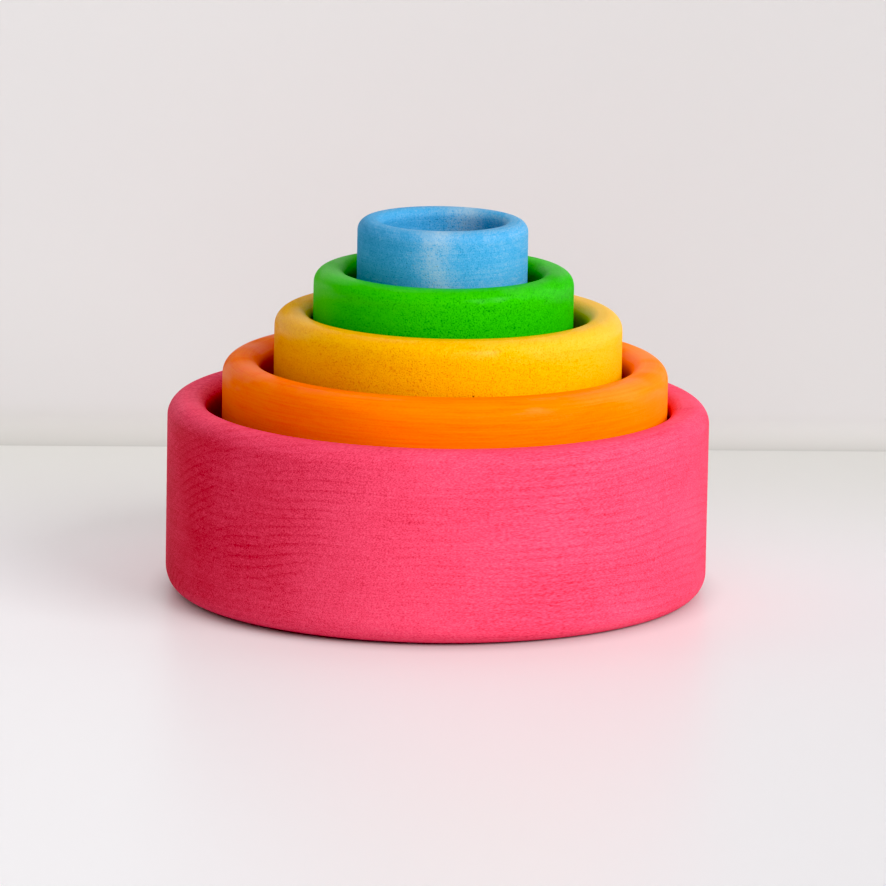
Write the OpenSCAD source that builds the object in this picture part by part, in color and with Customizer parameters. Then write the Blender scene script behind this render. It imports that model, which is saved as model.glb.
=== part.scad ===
// Five turned wooden bowls that nest in one another and stand up as a stepped tower.
// Each bowl stands on the floor of the bowl around it, and its rim rises one step above that bowl's rim.
// Units are millimetres. +Z is up, and the origin is the centre of the red bowl's underside.

/* [Red bowl, outermost] */
// Outer diameter, which sets the size of every bowl inside it
red_d = 110; // [90:1:160]
// Height from underside to rim
red_h = 38.8; // [30:0.1:60]
// Thickness of the side wall
red_wall = 8.0; // [5:0.1:10]
// Thickness of the floor
red_floor = 9.5; // [5:0.1:14]

/* [Orange bowl] */
// Gap all round to the red bowl when centred
orange_gap = 1.8; // [0.6:0.1:4]
// Height from underside to rim
orange_h = 37.8; // [30:0.1:60]
// Thickness of the side wall
orange_wall = 7.5; // [5:0.1:10]
// Thickness of the floor
orange_floor = 9.8; // [5:0.1:14]
// Share of its gap that the bowl stands off centre, to the right when positive
orange_stray = 0.7; // [-0.8:0.05:0.8]

/* [Yellow bowl] */
// Gap all round to the orange bowl when centred
yellow_gap = 2.4; // [0.6:0.1:4]
// Height from underside to rim
yellow_h = 37.9; // [30:0.1:60]
// Thickness of the side wall
yellow_wall = 7.2; // [5:0.1:10]
// Thickness of the floor
yellow_floor = 9.2; // [5:0.1:14]
// Share of its gap that the bowl stands off centre, to the right when positive
yellow_stray = 0.2; // [-0.8:0.05:0.8]

/* [Green bowl] */
// Gap all round to the yellow bowl when centred
green_gap = 1.7; // [0.6:0.1:4]
// Height from underside to rim
green_h = 37.3; // [30:0.1:60]
// Thickness of the side wall
green_wall = 6.6; // [5:0.1:8]
// Thickness of the floor
green_floor = 9.5; // [5:0.1:14]
// Share of its gap that the bowl stands off centre, to the right when positive
green_stray = -0.65; // [-0.8:0.05:0.8]

/* [Blue bowl, innermost] */
// Gap all round to the green bowl when centred
blue_gap = 2.5; // [0.6:0.1:4]
// Height from underside to rim
blue_h = 38; // [30:0.1:60]
// Thickness of the side wall
blue_wall = 5.0; // [3:0.1:6]
// Thickness of the floor
blue_floor = 9.0; // [5:0.1:14]
// Share of its gap that the bowl stands off centre, to the right when positive
blue_stray = -0.15; // [-0.8:0.05:0.8]

/* [Edges] */
// Radius of the rim's outer rounding as a share of the wall
lip_outer = 0.47; // [0.2:0.01:0.55]
// Radius of the rim's inner rounding as a share of the wall
lip_inner = 0.36; // [0.1:0.01:0.4]
// Height above the underside at which the foot starts to round in
foot_rise = 4.5; // [4:0.1:9]
// Distance that the foot has rounded in by when it reaches the underside
foot_inset = 3.6; // [2:0.1:4]

/* [Hidden] */
$fn = 96;

// The foot's arc is tangent to the side wall at foot_rise and crosses the underside foot_inset in.
foot_r = (foot_rise * foot_rise + foot_inset * foot_inset) / (2 * foot_inset);

// The corner inside a bowl is no larger than the foot of the bowl that stands in it.
// A narrow bowl keeps at least half of its floor flat.
flat_share = 0.5;
function corner_r(inner_r) = min(foot_inset, inner_r * (1 - flat_share));

// How far a cutting shape reaches past the face that it cuts
overcut = 1;

// Outer and inner radii, from the outside in
red_r = red_d / 2;
red_inner_r = red_r - red_wall;
orange_r = red_inner_r - orange_gap;
orange_inner_r = orange_r - orange_wall;
yellow_r = orange_inner_r - yellow_gap;
yellow_inner_r = yellow_r - yellow_wall;
green_r = yellow_inner_r - green_gap;
green_inner_r = green_r - green_wall;
blue_r = green_inner_r - blue_gap;
blue_inner_r = blue_r - blue_wall;

// Height of each underside, which is the floor of the bowl around it
orange_z = red_floor;
yellow_z = orange_z + orange_floor;
green_z = yellow_z + yellow_floor;
blue_z = green_z + green_floor;

// Distance of each axis from the red bowl's axis
orange_x = orange_gap * orange_stray;
yellow_x = orange_x + yellow_gap * yellow_stray;
green_x = yellow_x + green_gap * green_stray;
blue_x = green_x + blue_gap * blue_stray;

// The waste outside a quarter round of radius r.
// Its centre is the origin, and it lies to the side given by the signs in side.
module round_waste(r, side) {
    reach = r + overcut;
    difference() {
        translate([side[0] > 0 ? 0 : -reach, side[1] > 0 ? 0 : -reach]) square(reach);
        circle(r);
    }
}

// The hollow in profile: flat floor, rounded corner and straight wall
module hollow_profile(inner_r, h, floor_t) {
    r = corner_r(inner_r);
    difference() {
        translate([0, floor_t]) square([inner_r, h - floor_t + overcut]);
        translate([inner_r - r, floor_t + r]) round_waste(r, [1, -1]);
    }
}

// Half of a bowl in section, with the axis at x = 0 and the underside at y = 0
module bowl_profile(r, h, wall, floor_t) {
    outer_round = wall * lip_outer;
    inner_round = wall * lip_inner;
    difference() {
        square([r, h]);
        hollow_profile(r - wall, h, floor_t);
        translate([r - outer_round, h - outer_round]) round_waste(outer_round, [1, 1]);
        translate([r - wall + inner_round, h - inner_round]) round_waste(inner_round, [-1, 1]);
        translate([r - foot_r, foot_rise]) round_waste(foot_r, [1, -1]);
    }
}

module bowl(r, h, wall, floor_t) {
    rotate_extrude() bowl_profile(r, h, wall, floor_t);
}

module red_bowl() {
    color("#e8476a") bowl(red_r, red_h, red_wall, red_floor);
}

module orange_bowl() {
    color("#fd7800") translate([orange_x, 0, orange_z])
        bowl(orange_r, orange_h, orange_wall, orange_floor);
}

module yellow_bowl() {
    color("#faaf10") translate([yellow_x, 0, yellow_z])
        bowl(yellow_r, yellow_h, yellow_wall, yellow_floor);
}

module green_bowl() {
    color("#28b90c") translate([green_x, 0, green_z])
        bowl(green_r, green_h, green_wall, green_floor);
}

module blue_bowl() {
    color("#5eaee0") translate([blue_x, 0, blue_z])
        bowl(blue_r, blue_h, blue_wall, blue_floor);
}

red_bowl();
orange_bowl();
yellow_bowl();
green_bowl();
blue_bowl();
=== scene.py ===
import math

import bpy
import numpy as np
from mathutils import Matrix, Vector


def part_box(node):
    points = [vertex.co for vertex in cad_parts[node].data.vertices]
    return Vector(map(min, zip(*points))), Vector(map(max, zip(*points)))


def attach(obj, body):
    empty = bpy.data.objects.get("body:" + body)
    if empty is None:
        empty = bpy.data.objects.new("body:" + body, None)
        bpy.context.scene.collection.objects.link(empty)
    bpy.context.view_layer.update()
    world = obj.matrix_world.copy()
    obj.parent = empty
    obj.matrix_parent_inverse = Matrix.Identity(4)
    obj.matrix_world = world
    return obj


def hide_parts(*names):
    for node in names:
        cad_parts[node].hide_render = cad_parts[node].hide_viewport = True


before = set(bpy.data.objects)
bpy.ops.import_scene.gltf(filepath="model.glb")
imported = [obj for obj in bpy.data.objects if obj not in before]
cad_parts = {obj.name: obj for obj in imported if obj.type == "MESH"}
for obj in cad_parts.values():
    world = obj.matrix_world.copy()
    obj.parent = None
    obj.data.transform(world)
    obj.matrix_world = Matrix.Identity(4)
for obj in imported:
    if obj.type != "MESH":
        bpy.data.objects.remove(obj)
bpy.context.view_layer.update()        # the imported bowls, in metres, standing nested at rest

mm = 0.001
print("frame loaded:", ", ".join(sorted(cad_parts)))

turning = {
    "lipOuterShare": 0.47,        # radius of the rim's outer rounding, as a share of the wall
    "lipInnerShare": 0.36,        # the same inside the rim
    "footRise": 4.5 * mm,         # height at which the foot starts to round in
    "footInset": 3.6 * mm,        # how far the foot has rounded in at the underside
    "footSpread": 0.75,           # how narrow the place is where a foot was sanded less, 0 to 1
    "flatShare": 0.5,             # least share of the inner floor that stays flat
    "seat": 0.01 * mm,            # how far a floor lies below the bowl that stands on it
    "sanding": 0.22 * mm,         # how far hand sanding has softened each change of curve
    "spacing": 0.05 * mm,         # spacing of the drawn profile before sanding
    "shrinkage": 0.0006,          # how much more the wood has shrunk across its grain than along it
    "ripple": 0.015 * mm,         # depth of the faint rings left by the gouge
    "ripplePitch": 2.6 * mm,      # height from one such ring to the next
    "handWobble": 0.025 * mm,     # depth of the hollows left by sanding by hand
    "rimBlend": 2 * mm,           # length on each side of the rim's top over which hand marks set in
    "wornOutside": 0.85,          # how far below the rim its wear reaches, in wall thicknesses
    "wornInside": 0.6,            # the same on the inner side
    "wornFade": 0.6,              # wall thicknesses over which the wear fades
    "insideStarts": (0.15, 0.6),  # wall thicknesses below the rim between which the painted shade on the inner wall sets in
    "rows": 236,                  # rings of points from the underside's centre to the floor's centre
    "columns": 352,               # points round each ring
    "flatEffort": 0.35,           # share of the rings that a straight stretch gets for its length,
    "bendEffort": 2.2,            # and a bend for each radian in a millimetre,
    "bendLimit": 1.0,             # up to this many
}

# grainTurn is the degrees from the X axis to the way the board's grain runs, and seed picks the hand wobble;
# footFuller is the share of the foot's inset that is missing footTurn degrees round from the X axis, where
# the foot was sanded less
bowls = {
    "red": {"grainTurn": 24, "seed": 3, "footFuller": 0.27, "footTurn": 205},
    "orange": {"grainTurn": 8, "seed": 11, "footFuller": 0, "footTurn": 0},
    "yellow": {"grainTurn": 94, "seed": 19, "footFuller": 0, "footTurn": 0},
    "green": {"grainTurn": 98, "seed": 27, "footFuller": 0, "footTurn": 0},
    "blue": {"grainTurn": 79, "seed": 35, "footFuller": 0, "footTurn": 0},
}


# outer size from the bowl's box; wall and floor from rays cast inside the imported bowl
def measureBowl(color):
    low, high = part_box(color + "_bowl")
    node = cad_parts[color + "_bowl"]
    x, y = (low.x + high.x) / 2, (low.y + high.y) / 2
    aboveRim = Vector((x, y, high.z + turning["footRise"]))
    floorHit = node.ray_cast(aboveRim, Vector((0, 0, -1)))[1]
    middle = Vector((x, y, (floorHit.z + high.z) / 2))
    wallHit = node.ray_cast(middle, Vector((1, 0, 0)))[1]
    return {"x": x, "y": y, "base": low.z, "rim": high.z, "floor": floorHit.z - turning["seat"],
            "outer": (high.x - low.x) / 2, "inner": wallHit.x - x}


# points centre + radius (cos a, sin a) as the angle a runs from start to end, in degrees
def arc(centreR, centreZ, radius, start, end, count=60):
    a = np.radians(np.linspace(start, end, count))
    return np.stack([centreR + radius * np.cos(a), centreZ + radius * np.sin(a)], 1)


# half section (r, z) from the centre of the underside, out and up the side, over the rim and in to the
# floor's centre: straight lines joined by round arcs, then averaged along its length as sanding does
def bowlProfile(size):
    wall = size["outer"] - size["inner"]
    height = size["rim"] - size["base"]
    floorZ = size["floor"] - size["base"]
    lipOuter = wall * turning["lipOuterShare"]
    lipInner = wall * turning["lipInnerShare"]
    rise, inset = turning["footRise"], turning["footInset"]
    footRadius = (rise ** 2 + inset ** 2) / (2 * inset)
    footStart = -math.degrees(math.asin(rise / footRadius))
    corner = min(inset, size["inner"] * (1 - turning["flatShare"]))
    drawn = np.concatenate([
        [[0, 0]],
        arc(size["outer"] - footRadius, rise, footRadius, footStart, 0),
        arc(size["outer"] - lipOuter, height - lipOuter, lipOuter, 0, 90),
        arc(size["inner"] + lipInner, height - lipInner, lipInner, 90, 180),
        arc(size["inner"] - corner, floorZ + corner, corner, 0, -90),
        [[0, floorZ]],
    ])
    length = np.concatenate([[0], np.cumsum(np.hypot(*np.diff(drawn, axis=0).T))])
    s = np.arange(0, length[-1], turning["spacing"])
    even = np.stack([np.interp(s, length, drawn[:, k]) for k in (0, 1)], 1)
    reach = int(4 * turning["sanding"] / turning["spacing"])     # the average's weight has died away here
    offsets = np.arange(-reach, reach + 1) * turning["spacing"] / turning["sanding"]
    weight = np.exp(-0.5 * offsets ** 2)
    weight /= weight.sum()
    before = even[reach:0:-1] * [-1, 1]
    after = even[-2:-reach - 2:-1] * [-1, 1]
    longer = np.concatenate([before, even, after])
    soft = np.stack([np.convolve(longer[:, k], weight, "valid") for k in (0, 1)], 1)
    soft[:, 0] = np.clip(soft[:, 0], 0, None)
    return soft


# picks rows along the profile, closer together where it bends: the running sum of step length times
# (flatEffort + bend times bendEffort), cut into equal parts
def spreadRows(profile, count):
    step = np.diff(profile, axis=0)
    run = np.hypot(*step.T)
    heading = np.unwrap(np.arctan2(step[:, 1], step[:, 0]))
    bend = np.abs(np.gradient(heading)) / np.maximum(run, 1e-9) * mm
    share = turning["flatEffort"] + np.minimum(bend, turning["bendLimit"]) * turning["bendEffort"]
    effort = np.concatenate([[0], np.cumsum(run * share)])
    length = np.concatenate([[0], np.cumsum(run)])
    along = np.interp(np.linspace(0, effort[-1], count), effort, length)
    rows = np.stack([np.interp(along, length, profile[:, k]) for k in (0, 1)], 1)
    rows[0, 0] = rows[-1, 0] = 0
    return rows, along


handWork = {
    "waves": 7,         # how many waves are added together
    "mostTurns": 6,     # most crests of one wave round the bowl
    "steepest": 160,    # most radians that a wave climbs in a metre
    "fineFade": 0.4,    # how much weaker a wave is for each of its crests
}


# sum of sines of (k angle + m height + phase), brought to 0..1: the slow unevenness of hand work
def slowWaves(angle, height, seed):
    rng = np.random.default_rng(seed)
    count, steepest = handWork["waves"], handWork["steepest"]
    turns = rng.integers(1, handWork["mostTurns"] + 1, count)[:, None, None]
    climb = rng.uniform(-steepest, steepest, count)[:, None, None]
    phase = rng.uniform(0, 2 * np.pi, count)[:, None, None]
    waves = (np.sin(turns * angle + climb * height + phase) / (1 + handWork["fineFade"] * turns)).sum(0)
    return (waves - waves.min()) / np.ptp(waves)


# mesh of a closed surface from rings of points; the first and the last ring are single points
def closedMesh(name, points, along):
    rings, columns = points.shape[:2]
    vertices = np.concatenate([points[:1, 0], points[1:-1].reshape(-1, 3), points[-1:, 0]])
    last = len(vertices) - 1
    ring = 1 + np.arange((rings - 2) * columns).reshape(rings - 2, columns)
    ahead = np.roll(ring, -1, 1)
    firstFan = np.stack([np.zeros(columns, int), ahead[0], ring[0]], -1)
    quads = np.stack([ring[:-1], ahead[:-1], ahead[1:], ring[1:]], -1).reshape(-1, 4)
    lastFan = np.stack([ring[-1], ahead[-1], np.full(columns, last)], -1)
    corners = np.concatenate([firstFan.ravel(), quads.ravel(), lastFan.ravel()])
    sizes = np.concatenate([np.full(columns, 3), np.full(len(quads), 4), np.full(columns, 3)])
    starts = np.concatenate([[0], np.cumsum(sizes)[:-1]])
    mesh = bpy.data.meshes.new(name)
    mesh.vertices.add(len(vertices))
    mesh.vertices.foreach_set("co", vertices.astype(np.float32).ravel())
    mesh.loops.add(len(corners))
    mesh.loops.foreach_set("vertex_index", corners.astype(np.int32))
    mesh.polygons.add(len(sizes))
    mesh.polygons.foreach_set("loop_start", starts.astype(np.int32))
    mesh.polygons.foreach_set("use_smooth", np.ones(len(sizes), bool))
    mesh.update(calc_edges=True)
    unroll(mesh, along, rings, columns)
    return mesh


# the bowl unrolled: across is the turn round the axis, up is the length along the profile, both 0..1
def unroll(mesh, along, rings, columns):
    v = along / along[-1]
    left = np.broadcast_to(np.arange(columns) / columns, (rings - 3, columns))
    right = left + 1 / columns
    low = np.broadcast_to(v[1:-2, None], left.shape)
    high = np.broadcast_to(v[2:-1, None], left.shape)
    quadMap = np.stack([left, low, right, low, right, high, left, high], -1)
    a, b = left[0], right[0]
    zero, one = np.zeros(columns), np.ones(columns)
    firstMap = np.stack([(a + b) / 2, zero, b, zero + v[1], a, zero + v[1]], -1)
    lastMap = np.stack([a, zero + v[-2], b, zero + v[-2], (a + b) / 2, one], -1)
    layer = mesh.uv_layers.new(name="OFBake")
    flat = np.concatenate([firstMap.ravel(), quadMap.ravel(), lastMap.ravel()])
    layer.uv.foreach_set("vector", flat.astype(np.float32))


# one value per ring, written to every point of that ring
def addRingValues(mesh, name, values, columns):
    spread = np.concatenate([values[:1], np.repeat(values[1:-1], columns), values[-1:]])
    attribute = mesh.attributes.new(name, "FLOAT", "POINT")
    attribute.data.foreach_set("value", spread.astype(np.float32))


# what the material reads: lip is 1 on the rim's wear and 0 off it, along is the millimetres run along the
# profile, and inside is 1 down in the hollow, where the inner wall gets painted shade; below is how far
# under the rim, in wall thicknesses
def markRings(mesh, below, along, top):
    reach = np.where(along < top, turning["wornOutside"], turning["wornInside"])
    fade = np.clip((reach - below) / turning["wornFade"], 0, 1)
    start, end = turning["insideStarts"]
    inside = np.clip((below - start) / (end - start), 0, 1) * (along > top)
    addRingValues(mesh, "lip", fade * fade * (3 - 2 * fade), turning["columns"])
    addRingValues(mesh, "along", along / mm, turning["columns"])
    addRingValues(mesh, "inside", inside * inside * (3 - 2 * inside), turning["columns"])


# radius left on by lighter sanding: the foot's own inset at that height times footFuller, most at footTurn
# and fading to nothing about 110 degrees away, as the square of a cosine bell; less towards the axis, as
# the fourth power of the distance from it
def footWood(color, r, z, angle, size, outside):
    away = angle - math.radians(bowls[color]["footTurn"])
    spread = turning["footSpread"]
    bell = np.clip(1 - spread + spread * np.cos(away), 0, 1) ** 2
    inset = np.clip(size["outer"] - r, 0, turning["footInset"])
    low = np.clip((turning["footRise"] - z) / mm, 0, 1) * (outside > 0)
    reach = np.clip(r / size["inner"], 0, 1) ** 4
    return bowls[color]["footFuller"] * bell * inset * low * reach


# surface of a bowl: axis + r (cos angle, sin angle) + z up, where r and z follow the profile and wood is
# taken off it across the grain, in the gouge's ripples and in the sanded hollows, but not where the bowl
# stands and not at the middle of its floor
def makeBowl(color):
    size = measureBowl(color)
    rows, along = spreadRows(bowlProfile(size), turning["rows"])
    r, z = rows[:, :1], rows[:, 1:]
    angle = np.linspace(0, 2 * np.pi, turning["columns"], endpoint=False)[None, :]
    across = np.sin(angle - math.radians(bowls[color]["grainTurn"])) ** 2
    top = along[np.argmax(rows[:, 1])]
    outside = np.clip((top - along[:, None]) / turning["rimBlend"], -1, 1)
    standing = np.clip(z / (2 * turning["footRise"]), 0, 1) * np.clip(2 * r / size["inner"], 0, 1)
    ripple = turning["ripple"] * (0.5 + 0.5 * np.sin(2 * np.pi * z / turning["ripplePitch"]))
    wobble = turning["handWobble"] * slowWaves(angle, z, bowls[color]["seed"])
    shrunk = r * turning["shrinkage"] * across * np.clip(outside, 0, 1)
    leftOn = footWood(color, r, z, angle, size, outside)
    radius = np.clip(r - shrunk - outside * (ripple + wobble) * standing + leftOn, 0, None)
    points = np.stack(np.broadcast_arrays(
        size["x"] + radius * np.cos(angle), size["y"] + radius * np.sin(angle), size["base"] + z), -1)
    mesh = closedMesh(color + "Bowl", points, along)
    below = (rows[:, 1].max() - rows[:, 1]) / (size["outer"] - size["inner"])
    markRings(mesh, below, along, top)
    bowl = bpy.data.objects.new(color + "Bowl", mesh)
    bpy.context.scene.collection.objects.link(bowl)
    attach(bowl, color)
    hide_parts(color + "_bowl")
    return bowl, size


# gives each input a value or joins it to another node's output
def join(tree, node, inputs):
    for name, value in inputs.items():
        if isinstance(value, bpy.types.NodeSocket):
            tree.links.new(value, node.inputs[name])
        else:
            node.inputs[name].default_value = value


# a node with its properties set and its inputs joined
def addNode(tree, kind, inputs=(), **settings):
    node = tree.nodes.new("ShaderNode" + kind)
    for name, value in settings.items():
        setattr(node, name, value)
    join(tree, node, dict(inputs))
    return node


def maths(tree, operation, *values, clamp=False):
    return addNode(tree, "Math", enumerate(values), operation=operation, use_clamp=clamp).outputs[0]


def scaled(tree, vector, factors):
    return addNode(tree, "VectorMath", {0: vector, 1: factors}, operation="MULTIPLY").outputs[0]


def blended(tree, share, first, second, how="MIX"):
    inputs = {0: share, 6: first, 7: second}
    return addNode(tree, "Mix", inputs, data_type="RGBA", blend_type=how).outputs[2]


# noise of board places in millimetres, each axis times its factor; about 0.2 to 0.8
def grain(tree, vector, factors, detail=2.0, roughness=0.5):
    inputs = {"Vector": scaled(tree, vector, factors), "Scale": 1.0, "Detail": detail, "Roughness": roughness}
    return addNode(tree, "TexNoise", inputs, noise_dimensions="3D").outputs[0]


# 0 below low and 1 above high, with a smooth rise between
def rampUp(tree, value, low, high):
    inputs = {"Value": value, "From Min": low, "From Max": high}
    return addNode(tree, "MapRange", inputs, interpolation_type="SMOOTHSTEP").outputs[0]


# (value - 0.5) times strength, to both sides of none
def swing(tree, value, strength):
    return maths(tree, "MULTIPLY", maths(tree, "SUBTRACT", value, 0.5), strength)


def total(tree, *values):
    result = values[0]
    for value in values[1:]:
        result = maths(tree, "ADD", result, value)
    return result


# what the grain is made of: a noise's three numbers say how fast it changes along and across the board for
# each millimetre, and a pair of edges are the values between which it goes from none to all
figure = {
    "ringDrift": (0.012, 0.03, 0.03),
    "ringBend": 9.0,                # millimetres that the drift bends a ring
    "ringPatches": (0.02, 0.05, 0.05),
    "ringPatchEdges": (0.34, 0.6),
    "ringRise": (0.55, 0.9),        # shares of a ring's width between which its line darkens,
    "ringFall": (0.92, 1.0),        # and between which it ends
    "vesselStretch": (0.04, 1, 1),
    "vesselSize": (0.15, 0.24),     # smallest hole, and how much larger the largest is, in spacings
    "vesselRarity": 3.0,            # power that makes large holes rare
    "vesselSharpness": 0.55,        # share of a hole's size at which its edge starts
    "vesselEnds": (0.78, 0.97),     # edges of the end grain that shows holes
    "fibres": (0.04, 0.9, 0.9),
    "flecks": (1.2, 4.8, 4.8),
    "specks": (0.6, 3.3, 3.3),
    "speckEdges": (0.48, 0.78),
    "turningLines": (2.4, 0.05, 0.05),  # along the profile, and along and across the board
    "bandBend": (0.04, 0.04, 0.08),
    "bandSwing": 5.0,               # millimetres that the paler layer wanders
    "clouds": (0.03, 0.06, 0.06),
    "endPower": 6.0,                # how closely the ends' own depth keeps to the end grain
    "worn": (0.4, 1.2, 1.2),
    "wornEdges": (0.25, 0.7),
    "smears": (0.05, 0.08, 0.3),
    "smearEdges": (0.36, 0.62),
    "holeColor": (0.2, 0.1, 0.05, 1),
    # colour multiplied in for the painted shade on the inner wall
    "paintedInnerShadeColor": (0.12, 0.1, 0.1, 1),
    "relief": {"flecks": 0.45, "fibres": 0.25, "turning": 0.2, "specks": -0.3},
    "roughness": {"flecks": 0.12, "vessels": 0.2},
}


# dark line at the end of each growth ring: rings are shells of equal distance from the pith, bent by
# slow noise, and each line comes and goes in patches
def growthRings(tree, given):
    drift = addNode(tree, "TexNoise", {"Vector": scaled(tree, given["Board"], figure["ringDrift"]),
                                       "Scale": 1.0, "Detail": 2.0}).outputs["Color"]
    centred = addNode(tree, "VectorMath", {0: drift, 1: (0.5, 0.5, 0.5)}, operation="SUBTRACT").outputs[0]
    fromPith = addNode(tree, "VectorMath", {0: given["Board"], 1: given["Pith"]},
                       operation="SUBTRACT").outputs[0]
    bent = addNode(tree, "VectorMath", {0: centred, 1: (figure["ringBend"],) * 3, 2: fromPith},
                   operation="MULTIPLY_ADD").outputs[0]
    flat = scaled(tree, bent, (0, 1, 1))
    distance = addNode(tree, "VectorMath", {0: flat}, operation="LENGTH").outputs["Value"]
    saw = maths(tree, "FRACT", maths(tree, "DIVIDE", distance, given["Ring Width"]))
    line = maths(tree, "MULTIPLY", rampUp(tree, saw, *figure["ringRise"]),
                 maths(tree, "SUBTRACT", 1.0, rampUp(tree, saw, *figure["ringFall"])))
    patches = rampUp(tree, grain(tree, given["Board"], figure["ringPatches"], detail=1.0),
                     *figure["ringPatchEdges"])
    return maths(tree, "MULTIPLY", maths(tree, "MULTIPLY", line, patches), given["Ring Strength"])


# open vessels: cells of a pattern drawn out along the grain, of which a share holds a round hole, on the end
# grain and off the rim
def vessels(tree, given):
    places = addNode(tree, "VectorMath", {0: scaled(tree, given["Board"], figure["vesselStretch"]),
                                          3: maths(tree, "DIVIDE", 1.0, given["Vessel Spacing"])},
                     operation="SCALE").outputs[0]
    cells = addNode(tree, "TexVoronoi", {"Vector": places, "Scale": 1.0, "Randomness": 1.0}).outputs
    chance = addNode(tree, "SeparateColor", {0: cells["Color"]}).outputs
    isOpen = maths(tree, "LESS_THAN", chance[0], given["Vessel Share"])
    smallest, spread = figure["vesselSize"]
    rare = maths(tree, "POWER", chance[1], figure["vesselRarity"])
    size = maths(tree, "MULTIPLY_ADD", rare, spread, smallest)
    edge = rampUp(tree, cells["Distance"], maths(tree, "MULTIPLY", size, figure["vesselSharpness"]), size)
    hole = maths(tree, "MULTIPLY", maths(tree, "SUBTRACT", 1.0, edge), isOpen)
    onEnds = rampUp(tree, given["End Grain"], *figure["vesselEnds"])
    offLip = maths(tree, "SUBTRACT", 1.0, given["Lip"], clamp=True)
    return maths(tree, "MULTIPLY", hole, maths(tree, "MULTIPLY", onEnds, offLip))


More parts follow.
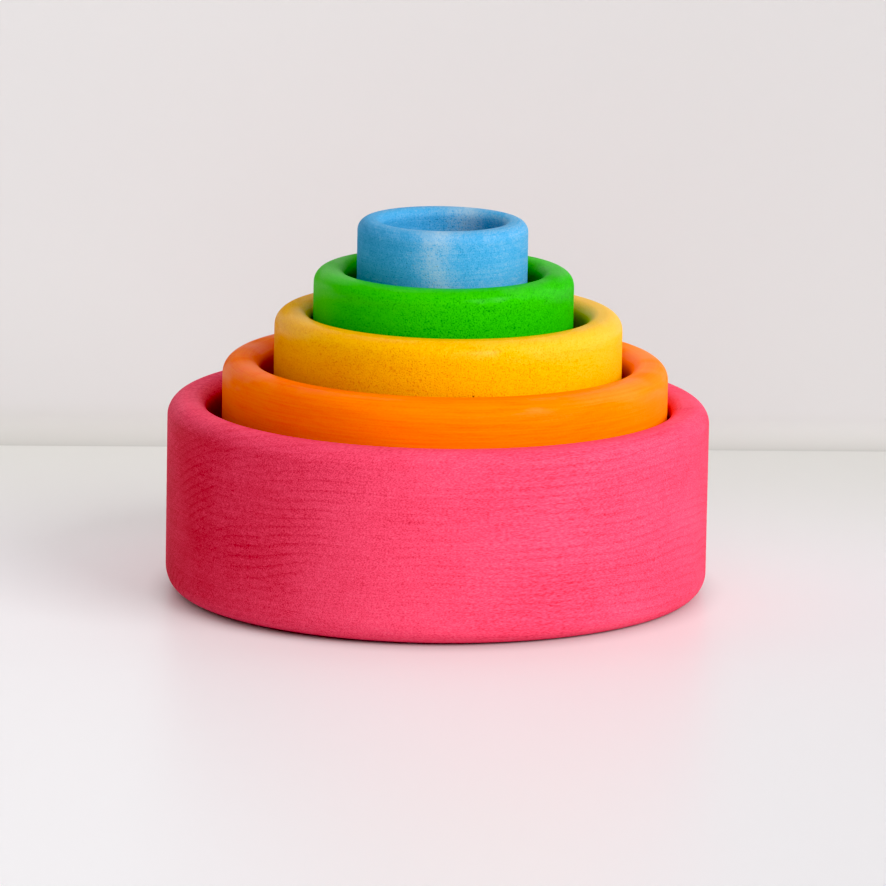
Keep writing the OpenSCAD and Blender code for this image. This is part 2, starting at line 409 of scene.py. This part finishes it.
# stained close-grained wood in the board's own axes, in millimetres, X along the grain: fibres are noise
# drawn out along X, so they show as lines on the sides and as specks on the ends; the depth of stain picks
# between a pale, a full and a deep colour
def stainedWood():
    tree = bpy.data.node_groups.new("stainedWood", "ShaderNodeTree")
    sockets = {"Board": "Vector", "Pith": "Vector", "Lean": "Vector",
               "Pale": "Color", "Full": "Color", "Deep": "Color"}
    for name in ("End Grain", "Lip", "Along", "Inside", "Ring Width", "Ring Strength", "Fibre Strength",
                 "Fleck Strength", "Speck Strength", "Turning Strength", "Vessel Spacing", "Vessel Share",
                 "Vessel Strength", "Band Place", "Band Width", "Band Strength", "Cloud Strength",
                 "End Depth", "Inside Shade", "Wear", "Wax", "Roughness Base"):
        sockets[name] = "Float"
    for name, kind in sockets.items():
        tree.interface.new_socket(name, in_out="INPUT", socket_type="NodeSocket" + kind)
    for name, kind in {"Color": "Color", "Relief": "Float", "Roughness": "Float", "Wax": "Float"}.items():
        tree.interface.new_socket(name, in_out="OUTPUT", socket_type="NodeSocket" + kind)
    given = tree.nodes.new("NodeGroupInput").outputs
    board, endGrain, lip = given["Board"], given["End Grain"], given["Lip"]

    rings = growthRings(tree, given)
    fibres = grain(tree, board, figure["fibres"], detail=3.0, roughness=0.6)
    flecks = grain(tree, board, figure["flecks"], detail=1.0, roughness=0.6)
    specks = grain(tree, board, figure["specks"], detail=1.0)
    speckled = rampUp(tree, specks, *figure["speckEdges"])
    parts = addNode(tree, "SeparateXYZ", {0: board}).outputs
    lathe = addNode(tree, "CombineXYZ", {0: given["Along"], 1: parts[0], 2: parts[1]}).outputs[0]
    turned = grain(tree, lathe, figure["turningLines"], detail=3.0, roughness=0.6)
    vessel = vessels(tree, given)

    # a layer of the board that took less stain, and slow clouds in the stain
    bend = swing(tree, grain(tree, board, figure["bandBend"], detail=1.0), figure["bandSwing"])
    fromBand = maths(tree, "SUBTRACT", maths(tree, "ADD", parts[1], bend), given["Band Place"])
    off = maths(tree, "DIVIDE", fromBand, given["Band Width"])
    bell = maths(tree, "EXPONENT", maths(tree, "MULTIPLY", maths(tree, "MULTIPLY", off, off), -1.0))
    band = maths(tree, "MULTIPLY", bell, given["Band Strength"])
    clouds = swing(tree, grain(tree, board, figure["clouds"]), given["Cloud Strength"])
    ends = maths(tree, "MULTIPLY", maths(tree, "POWER", endGrain, figure["endPower"]), given["End Depth"])
    worn = grain(tree, board, figure["worn"], detail=4.0, roughness=0.75)
    wornPatches = rampUp(tree, worn, *figure["wornEdges"])
    wear = maths(tree, "MULTIPLY", maths(tree, "MULTIPLY", lip, wornPatches), given["Wear"])

    # all of them make up the depth of stain: none is pale, half is full and all is deep
    onEnds = maths(tree, "MULTIPLY", speckled, endGrain)
    depth = total(tree, 0.5, rings, swing(tree, fibres, given["Fibre Strength"]),
                  swing(tree, flecks, given["Fleck Strength"]),
                  maths(tree, "MULTIPLY", onEnds, given["Speck Strength"]),
                  swing(tree, turned, given["Turning Strength"]), clouds, ends)
    # lean: one side paler and the other deeper, partly the stain's own unevenness and partly painted light
    # and shade
    lean = addNode(tree, "VectorMath", {0: board, 1: given["Lean"]}, operation="DOT_PRODUCT").outputs["Value"]
    depth = maths(tree, "SUBTRACT", depth, total(tree, lean, band, wear), clamp=True)
    upperShare = maths(tree, "MULTIPLY_ADD", depth, 2.0, -1.0, clamp=True)
    lowerShare = maths(tree, "MULTIPLY", depth, 2.0, clamp=True)
    stained = blended(tree, lowerShare, given["Pale"], given["Full"])
    stained = blended(tree, upperShare, stained, given["Deep"])
    holes = maths(tree, "MULTIPLY", vessel, given["Vessel Strength"])
    colored = blended(tree, holes, stained, figure["holeColor"], "MULTIPLY")
    # painted shade: the inner wall darkened below the rim, standing for the shade in the narrow gap round a
    # nested bowl and down in the hollow
    paintedInnerShade = maths(tree, "MULTIPLY", given["Inside"], given["Inside Shade"])
    colored = blended(tree, paintedInnerShade, colored, figure["paintedInnerShadeColor"], "MULTIPLY")

    # relief: flecks, fibres and turning lines stand a little proud, specks are sunk, vessels are holes
    share = figure["relief"]
    relief = total(tree, maths(tree, "MULTIPLY", flecks, share["flecks"]),
                   maths(tree, "MULTIPLY", fibres, share["fibres"]),
                   maths(tree, "MULTIPLY", turned, share["turning"]),
                   maths(tree, "MULTIPLY", onEnds, share["specks"]))
    relief = maths(tree, "SUBTRACT", relief, vessel)
    rough = total(tree, given["Roughness Base"], swing(tree, flecks, figure["roughness"]["flecks"]),
                  maths(tree, "MULTIPLY", vessel, figure["roughness"]["vessels"]))
    smears = rampUp(tree, grain(tree, board, figure["smears"]), *figure["smearEdges"])
    wax = maths(tree, "MULTIPLY", maths(tree, "MULTIPLY", lip, smears), given["Wax"])
    result = tree.nodes.new("NodeGroupOutput").inputs
    tree.links.new(colored, result["Color"])
    tree.links.new(relief, result["Relief"])
    tree.links.new(rough, result["Roughness"])
    tree.links.new(wax, result["Wax"])
    return tree


# colours from the palest to the deepest stain; Pith and Band Place are places in the board, and widths and
# spacings are in millimetres; Lean is how much paler each millimetre along each axis makes the wood, which on
# the red, orange, yellow and blue bowls makes the lit right side paler and the shaded left side deeper,
# partly the stain's own unevenness and partly painted light and shade; strengths are shares of the whole
# depth of stain
noBand = {"Band Place": 0, "Band Width": 1.0, "Band Strength": 0.0}
# Inside Shade is the strength of the painted shade on the inner wall
stains = {
    "red": {
        "Pale": (0.95, 0.17, 0.27, 1), "Full": (0.93, 0.08, 0.165, 1), "Deep": (0.58, 0.008, 0.025, 1),
        "Pith": (0, -46, -60), "Lean": (0.001, 0, 0),
        "Ring Width": 1.9, "Ring Strength": 0.1, "Fibre Strength": 0.22,
        "Fleck Strength": 0.95, "Speck Strength": 0.1, "Turning Strength": 0.25,
        "Vessel Spacing": 0.9, "Vessel Share": 0.04, "Vessel Strength": 0.2,
        **noBand,
        "Cloud Strength": 0.35, "End Depth": 0.3, "Inside Shade": 0.7,
        "Wear": 0.0, "Wax": 0.05, "Roughness Base": 0.68,
    },
    "orange": {
        "Pale": (1.0, 0.3, 0.02, 1), "Full": (1.0, 0.205, 0.001, 1), "Deep": (0.97, 0.07, 0.0, 1),
        "Pith": (0, 30, -110), "Lean": (0.004, 0, 0),
        "Ring Width": 2.4, "Ring Strength": 0.05, "Fibre Strength": 0.15,
        "Fleck Strength": 0.25, "Speck Strength": 0.1, "Turning Strength": 0.55,
        "Vessel Spacing": 0.9, "Vessel Share": 0.03, "Vessel Strength": 0.2,
        **noBand,
        "Cloud Strength": 0.45, "End Depth": -0.15, "Inside Shade": 0.5,
        "Wear": 0.05, "Wax": 0.3, "Roughness Base": 0.66,
    },
    "yellow": {
        "Pale": (0.98, 0.58, 0.05, 1), "Full": (0.95, 0.465, 0.006, 1), "Deep": (0.8, 0.25, 0.0, 1),
        "Pith": (0, 10, -70), "Lean": (0, -0.004, 0),
        "Ring Width": 3.4, "Ring Strength": 0.04, "Fibre Strength": 0.25,
        "Fleck Strength": 0.55, "Speck Strength": 0.5, "Turning Strength": 0.12,
        "Vessel Spacing": 0.9, "Vessel Share": 0.2, "Vessel Strength": 0.9,
        **noBand,
        "Cloud Strength": 0.4, "End Depth": 0.05, "Inside Shade": 0.6,
        "Wear": 0.12, "Wax": 0.4, "Roughness Base": 0.66,
    },
    "green": {
        "Pale": (0.08, 0.6, 0.01, 1), "Full": (0.03, 0.52, 0.005, 1), "Deep": (0.002, 0.24, 0.0, 1),
        "Pith": (0, 25, 90), "Lean": (0, 0.002, 0),
        "Ring Width": 2.8, "Ring Strength": 0.04, "Fibre Strength": 0.25,
        "Fleck Strength": 0.6, "Speck Strength": 0.45, "Turning Strength": 0.12,
        "Vessel Spacing": 0.44, "Vessel Share": 0.5, "Vessel Strength": 0.6,
        "Band Place": 26.5, "Band Width": 2.2, "Band Strength": 0.3,
        "Cloud Strength": 0.3, "End Depth": 0.0, "Inside Shade": 0.6,
        "Wear": 0.08, "Wax": 0.35, "Roughness Base": 0.66,
    },
    "blue": {
        "Pale": (0.36, 0.55, 0.7, 1), "Full": (0.068, 0.37, 0.68, 1), "Deep": (0.005, 0.22, 0.46, 1),
        "Pith": (0, 60, 0), "Lean": (0, -0.004, 0),
        "Ring Width": 4.2, "Ring Strength": 0.08, "Fibre Strength": 0.3,
        "Fleck Strength": 0.45, "Speck Strength": 0.3, "Turning Strength": 0.35,
        "Vessel Spacing": 0.45, "Vessel Share": 0.45, "Vessel Strength": 0.4,
        "Band Place": -2.2, "Band Width": 3.4, "Band Strength": 0.32,
        "Cloud Strength": 0.3, "End Depth": 0.0, "Inside Shade": 0.1,
        "Wear": 0.09, "Wax": 0.1, "Roughness Base": 0.7,
    },
}

finish = {
    "specular": 0.06,       # the stained wood is almost matt
    "waxRoughness": 0.3,    # of the thin wax rubbed on the rims
    "reliefShare": 0.6,     # share of the relief that shows
    "reliefDepth": {"red": 0.17 * mm, "orange": 0.12 * mm, "yellow": 0.3 * mm, "green": 0.24 * mm,
                    "blue": 0.2 * mm},
}


def stainMaterial(color, size, group):
    material = bpy.data.materials.new(color + "Wood")
    material.use_nodes = True
    tree = material.node_tree
    tree.nodes.clear()
    coords = addNode(tree, "TexCoord").outputs
    turn = math.radians(bowls[color]["grainTurn"])

    # into the board's axes: centred on the bowl's axis at its base, turned to the grain, in millimetres
    centre = (-size["x"], -size["y"], -size["base"])
    centred = addNode(tree, "VectorMath", {0: coords["Object"], 1: centre}, operation="ADD").outputs[0]
    turned = addNode(tree, "VectorRotate", {"Vector": centred, "Angle": -turn},
                     rotation_type="Z_AXIS").outputs[0]
    along = (math.cos(turn), math.sin(turn), 0)
    facing = addNode(tree, "VectorMath", {0: coords["Normal"], 1: along}, operation="DOT_PRODUCT")
    inputs = dict(stains[color])
    inputs["Board"] = scaled(tree, turned, (1 / mm,) * 3)
    inputs["End Grain"] = maths(tree, "ABSOLUTE", facing.outputs["Value"])
    for socket, name in (("Lip", "lip"), ("Along", "along"), ("Inside", "inside")):
        inputs[socket] = addNode(tree, "Attribute", attribute_name=name,
                                 attribute_type="GEOMETRY").outputs["Fac"]
    wood = addNode(tree, "Group", node_tree=group)
    join(tree, wood, inputs)
    bump = addNode(tree, "Bump", {"Strength": finish["reliefShare"], "Distance": finish["reliefDepth"][color],
                                  "Height": wood.outputs["Relief"]})
    shader = addNode(tree, "BsdfPrincipled", {
        "Base Color": wood.outputs["Color"], "Roughness": wood.outputs["Roughness"],
        "Normal": bump.outputs[0], "Specular IOR Level": finish["specular"],
        "Coat Weight": wood.outputs["Wax"], "Coat Roughness": finish["waxRoughness"]})
    out = addNode(tree, "OutputMaterial")
    tree.links.new(shader.outputs[0], out.inputs[0])
    return material


woodTree = stainedWood()
for color in bowls:
    bowl, size = makeBowl(color)
    bowl.data.materials.append(stainMaterial(color, size, woodTree))
    print(color, "bowl turned and stained:", len(bowl.data.vertices), "points")

stage = {
    "tableReach": 3.0,              # half width of the table top
    # the red bowl is a little warped and stands clear of the table, more so on the left
    "drop": 0.42 * mm,              # how far below the bowl's underside the table lies at its axis
    "lean": 0.49,                   # degrees that the table falls to the left
    "wallBehind": 0.1471,           # distance from the red bowl's axis back to the wall
    "wallTurn": 0.82,               # degrees that the wall's right end is turned away
    "wallHeight": 1.6,
    "wallLift": 0.1 * mm,           # keeps the foot of the wall out of the table top
    "coveRadius": 0.006,            # of the round corner at the wall's foot
    "covePoints": 13,
    "sheen": 0.25,
    "tableRoughness": 0.38,
    "tableColor": (0.67, 0.66, 0.675, 1),
    "tableGlow": 0.32,              # share of its colour that the table gives out, to soften its shadows,
    "glowStarts": (0.050, 0.060),   # from nothing at the first distance to all of it at the second
    "wallRoughness": 0.8,
    "wallColor": (0.71, 0.7, 0.7, 1),
    # painted shade: the table darker and warmer towards the wall, and darker to the right
    "tablePaintedShade": [("Y", 0.0, 0.14, (1, 1, 1, 1), (0.87, 0.875, 0.82, 1)),
                    ("X", -0.1, 0.15, (1, 1, 1, 1), (0.9, 0.9, 0.9, 1))],
    # painted shade: the wall darker and warmer at its foot, and darker to the right
    "wallPaintedShade": [("Z", -0.001, 0.009, (0.9, 0.9, 0.86, 1), (1, 1, 1, 1)),
                   ("X", -0.08, 0.1, (1, 1, 1, 1), (0.93, 0.93, 0.93, 1))],
}


# height of the table top at a place: z = x tan(lean) - drop
def tableHeight(x):
    return x * math.tan(math.radians(stage["lean"])) - stage["drop"]


# paint whose colour is multiplied by a tint that changes smoothly along an axis, for each painted shade:
# (axis, place where the first tint holds, place where the second holds, first tint, second tint);
# a glow is the share of that paint which the surface gives out, and one side may be clear from behind
def stageMaterial(name, color, roughness, paintedShades, glow=0.0, oneSided=False):
    material = bpy.data.materials.new(name)
    material.use_nodes = True
    tree = material.node_tree
    tree.nodes.clear()
    place = addNode(tree, "TexCoord").outputs["Object"]
    axes = addNode(tree, "SeparateXYZ", {0: place}).outputs
    paint = color
    # each painted shade multiplies the paint by its tint
    for axis, start, end, first, second in paintedShades:
        shadeTint = blended(tree, rampUp(tree, axes[axis], start, end), first, second)
        paint = blended(tree, 1.0, paint, shadeTint, "MULTIPLY")
    inputs = {"Base Color": paint, "Roughness": roughness, "Specular IOR Level": stage["sheen"]}
    if glow:
        outwards = addNode(tree, "VectorMath", {0: place}, operation="LENGTH").outputs["Value"]
        fadedIn = rampUp(tree, outwards, *stage["glowStarts"])
        inputs["Emission Color"] = blended(tree, fadedIn, (0, 0, 0, 1), paint)
        inputs["Emission Strength"] = glow
    shader = addNode(tree, "BsdfPrincipled", inputs).outputs[0]
    if oneSided:
        clear = addNode(tree, "BsdfTransparent").outputs[0]
        back = addNode(tree, "NewGeometry").outputs["Backfacing"]
        shader = addNode(tree, "MixShader", {0: back, 1: shader, 2: clear}).outputs[0]
    out = addNode(tree, "OutputMaterial")
    tree.links.new(shader, out.inputs[0])
    return material


# one flat sheet that reaches far past the view
def makeTable():
    reach = stage["tableReach"]
    low, high = tableHeight(-reach), tableHeight(reach)
    corners = [(-reach, -reach, low), (reach, -reach, high), (reach, reach, high), (-reach, reach, low)]
    mesh = bpy.data.meshes.new("table")
    mesh.from_pydata(corners, [], [(0, 1, 2, 3)])
    mesh.materials.append(stageMaterial("paintedTable", stage["tableColor"], stage["tableRoughness"],
                                        stage["tablePaintedShade"], glow=stage["tableGlow"]))
    table = bpy.data.objects.new("table", mesh)
    bpy.context.scene.collection.objects.link(table)


# upright sheet with a small quarter round at its foot, seen only from its front
def makeWall():
    radius, reach = stage["coveRadius"], stage["tableReach"]
    a = np.linspace(0, np.pi / 2, stage["covePoints"])
    back = np.append(-radius + radius * np.sin(a), 0)
    up = np.append(radius - radius * np.cos(a), stage["wallHeight"])
    turn = math.radians(stage["wallTurn"])
    side = np.array([[-reach], [reach]])
    x = side * math.cos(turn) - back * math.sin(turn)
    y = stage["wallBehind"] + side * math.sin(turn) + back * math.cos(turn)
    z = up + tableHeight(x) + stage["wallLift"]
    points = np.stack(np.broadcast_arrays(x, y, z), -1).reshape(-1, 3)
    row = len(back)
    low = np.arange(row - 1)
    faces = np.stack([low, low + row, low + row + 1, low + 1], -1)
    mesh = bpy.data.meshes.new("wall")
    mesh.from_pydata(points.tolist(), [], faces.tolist())
    mesh.polygons.foreach_set("use_smooth", np.ones(row - 1, bool))
    mesh.update()
    mesh.materials.append(stageMaterial("paintedWall", stage["wallColor"], stage["wallRoughness"],
                                        stage["wallPaintedShade"], oneSided=True))
    wall = bpy.data.objects.new("wall", mesh)
    bpy.context.scene.collection.objects.link(wall)


makeTable()
makeWall()
print("table and wall in place")

# turn is degrees to the right of the camera's side, rise is degrees above the table, and distance and size
# are in metres; a mirrored light also shows as a highlight
lights = {
    "window": {"turn": 50, "rise": 30, "distance": 5.0, "size": (3.6, 2.7), "power": 230,
               "color": (0.99, 0.99, 1.0), "mirrored": True},
    "front": {"turn": 0, "rise": 22, "distance": 3.0, "size": (2.0, 2.0), "power": 22,
              "color": (0.98, 0.99, 1.0), "mirrored": False},
    "bounce": {"turn": -110, "rise": 25, "distance": 1.8, "size": (1.4, 1.0), "power": 7.5,
               "color": (1.0, 0.9, 0.76), "mirrored": False},
}
room = {"color": (1.0, 0.97, 0.93, 1), "strength": 0.25, "blackLevel": 0.015}
aim = Vector((0, 0, 0.03))


# the place at that turn, rise and distance from the aim
def around(turn, rise, distance):
    t, e = math.radians(turn), math.radians(rise)
    return aim + distance * Vector((math.sin(t) * math.cos(e), -math.cos(t) * math.cos(e), math.sin(e)))


def makeLights():
    for name, setting in lights.items():
        data = bpy.data.lights.new(name, "AREA")
        data.shape = "RECTANGLE"
        data.size, data.size_y = setting["size"]
        data.energy = setting["power"]
        data.color = setting["color"]
        lamp = bpy.data.objects.new(name, data)
        lamp.location = around(setting["turn"], setting["rise"], setting["distance"])
        lamp.rotation_euler = (aim - lamp.location).to_track_quat("-Z", "Y").to_euler()
        lamp.visible_glossy = setting["mirrored"]
        bpy.context.scene.collection.objects.link(lamp)
    world = bpy.data.worlds.new("room")
    bpy.context.scene.world = world
    world.use_nodes = True
    glow = world.node_tree.nodes.get("Background")
    glow.inputs[0].default_value = room["color"]
    glow.inputs[1].default_value = room["strength"]
    settings = bpy.context.scene.view_settings
    settings.view_transform = "Standard"
    settings.use_curve_mapping = True
    settings.curve_mapping.black_level = (room["blackLevel"],) * 3


view = {
    "aim": (1.06 * mm, 0, 29.82 * mm),
    "distance": 1.681,
    "rise": 11.57,    # degrees above the table
    "roll": 1.04,     # degrees that the camera leans to the left
    "lens": 336.3,    # a long lens, in millimetres
    "sensor": 36,     # its sensor's width
}


def makeCamera():
    e, roll = math.radians(view["rise"]), math.radians(view["roll"])
    back = Vector((0, -math.cos(e), math.sin(e)))
    right = Vector((1, 0, 0))
    up = back.cross(right)
    leaning = right * math.cos(roll) + up * math.sin(roll)
    upright = up * math.cos(roll) - right * math.sin(roll)
    data = bpy.data.cameras.new("camera")
    data.lens = view["lens"]
    data.sensor_width = view["sensor"]
    camera = bpy.data.objects.new("camera", data)
    turn = Matrix((leaning, upright, back)).transposed().to_4x4()
    camera.matrix_world = Matrix.Translation(Vector(view["aim"]) + back * view["distance"]) @ turn
    bpy.context.scene.collection.objects.link(camera)
    bpy.context.scene.camera = camera


makeLights()
makeCamera()
print("lights and camera placed")
